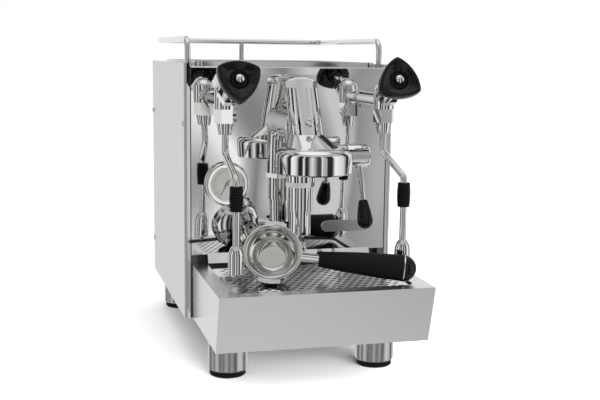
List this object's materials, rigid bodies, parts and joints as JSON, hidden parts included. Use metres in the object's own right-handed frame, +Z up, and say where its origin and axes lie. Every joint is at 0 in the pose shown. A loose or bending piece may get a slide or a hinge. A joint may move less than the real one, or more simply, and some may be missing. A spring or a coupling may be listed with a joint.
{
  "type": "espresso machine",
  "caption": "Boxy steel espresso machine with a chromed brew group, lever, two taps with wands, pressure gauge, cup rail, drip tray and a loose filter holder.",
  "frame": {"origin": "under the middle of the machine's outer box, on the surface that the feet stand on", "axes": "+Z up, +Y towards the rear, front panel faces -Y, +X to the right as seen from the front"},
  "size_m": [0.2684, 0.493, 0.3958],
  "materials": {
    "satin_steel": "satin brushed stainless steel",
    "mirror_steel": "mirror polished stainless steel",
    "chrome": "bright chrome plating",
    "dark_sheet": "dark painted sheet",
    "black_gloss": "glossy black moulding",
    "black_matte": "matte black moulding",
    "black_rubber": "black rubber",
    "dial_white": "printed ivory dial",
    "needle_black": "black lacquer",
    "gauge_glass": "clear flat glass",
    "basket_steel": "drawn stainless steel",
    "boiler_brass": "drawn brass",
    "tank_plastic": "clear-looking pale plastic",
    "pump_metal": "grey lacquer"
  },
  "bodies": {
    "machine": {"left_side_panel": "satin_steel", "right_side_panel": "satin_steel", "rear_panel": "satin_steel", "top_cover": "satin_steel", "foot_sleeves": "satin_steel", "front_panel": "mirror_steel", "name_plate": "mirror_steel", "cup_rail": "mirror_steel", "casing_screws": "mirror_steel", "group_body": "chrome", "group_top_nut": "chrome", "group_jet_plug": "chrome", "group_lower_chamber": "chrome", "group_drain_spout": "chrome", "gauge_case": "chrome", "steam_valve_body": "chrome", "water_valve_body": "chrome", "steam_joint_nut": "chrome", "water_joint_nut": "chrome", "base_plate": "dark_sheet", "frame_posts": "dark_sheet", "lower_bulkhead": "dark_sheet", "switch_frame": "black_matte", "power_inlet": "black_matte", "control_box": "black_matte", "group_gasket": "black_rubber", "foot_pads": "black_rubber", "gauge_dial": "dial_white", "gauge_glass": "gauge_glass", "shower_screen": "basket_steel", "boiler": "boiler_brass", "group_feed_pipe": "boiler_brass", "water_tank": "tank_plastic", "pump": "pump_metal"},
    "steam_knob": {"steam_knob": "black_gloss", "steam_knob_screw": "chrome", "steam_valve_stem": "chrome"},
    "water_knob": {"water_knob": "black_gloss", "water_knob_screw": "chrome", "water_valve_stem": "chrome"},
    "steam_ball": {"steam_ball": "chrome"},
    "water_ball": {"water_ball": "chrome"},
    "steam_wand": {"steam_wand_pipe": "mirror_steel", "steam_wand_grip": "black_rubber", "steam_wand_tip": "mirror_steel"},
    "water_wand": {"water_wand_pipe": "mirror_steel", "water_wand_grip": "black_rubber", "water_wand_tip": "mirror_steel"},
    "brew_lever": {"lever_shaft": "chrome", "lever_arm": "chrome", "lever_knob": "black_gloss"},
    "drip_tray": {"drip_tray": "satin_steel"},
    "drip_grate": {"drip_grate": "satin_steel"},
    "portafilter": {"portafilter_body": "chrome", "portafilter_handle": "black_matte", "portafilter_spout": "chrome", "filter_basket": "basket_steel"},
    "cup_tray": {"cup_tray": "satin_steel"},
    "gauge_needle": {"gauge_needle": "needle_black"},
    "power_rocker": {"power_rocker": "black_matte"}
  },
  "joints": [
    {"name": "steam_knob_turn", "type": "hinge", "parent": "machine", "child": "steam_knob", "pos_m": [-0.0955, -0.136, 0.323], "axis": [0.0611, -0.9205, 0.3859], "range_deg": [0, 270]},
    {"name": "water_knob_turn", "type": "hinge", "parent": "machine", "child": "water_knob", "pos_m": [0.0955, -0.136, 0.323], "axis": [-0.0611, -0.9205, 0.3859], "range_deg": [0, 270]},
    {"name": "steam_wand_tilt", "type": "hinge", "parent": "machine", "child": "steam_ball", "pos_m": [-0.0955, -0.136, 0.292], "axis": [-1, 0, 0], "range_deg": [-8, 12]},
    {"name": "water_wand_tilt", "type": "hinge", "parent": "machine", "child": "water_ball", "pos_m": [0.0955, -0.136, 0.292], "axis": [-1, 0, 0], "range_deg": [-8, 0]},
    {"name": "steam_wand_swing", "type": "hinge", "parent": "steam_ball", "child": "steam_wand", "pos_m": [-0.0955, -0.136, 0.292], "axis": [0, 0, -1], "range_deg": [0, 80]},
    {"name": "water_wand_swing", "type": "hinge", "parent": "water_ball", "child": "water_wand", "pos_m": [0.0955, -0.136, 0.292], "axis": [0, 0, 1], "range_deg": [0, 80]},
    {"name": "brew_lever_turn", "type": "hinge", "parent": "machine", "child": "brew_lever", "pos_m": [0.05, -0.1265, 0.256], "axis": [-1, 0, 0], "range_deg": [0, 75]},
    {"name": "drip_tray_slide", "type": "slide", "parent": "machine", "child": "drip_tray", "axis": [0, -1, 0], "range_m": [0, 0.12]},
    {"name": "drip_grate_lift", "type": "slide", "parent": "drip_tray", "child": "drip_grate", "axis": [0, 0, 1], "range_m": [0, 0.007]},
    {"name": "portafilter_lift", "type": "slide", "parent": "drip_grate", "child": "portafilter", "axis": [0, 0, 1], "range_m": [0, 0.04]},
    {"name": "cup_tray_lift", "type": "slide", "parent": "machine", "child": "cup_tray", "axis": [0, 0, 1], "range_m": [0, 0.04]},
    {"name": "gauge_needle_turn", "type": "hinge", "parent": "machine", "child": "gauge_needle", "pos_m": [-0.0804, -0.0685, 0.2182], "axis": [0, 1, 0], "range_deg": [0, 270], "stiffness_Nm_per_rad": 0.0005},
    {"name": "power_rocker_tip", "type": "hinge", "parent": "machine", "child": "power_rocker", "pos_m": [0.128, -0.0265, 0.084], "axis": [0, -1, 0], "range_deg": [0, 14]}
  ]
}
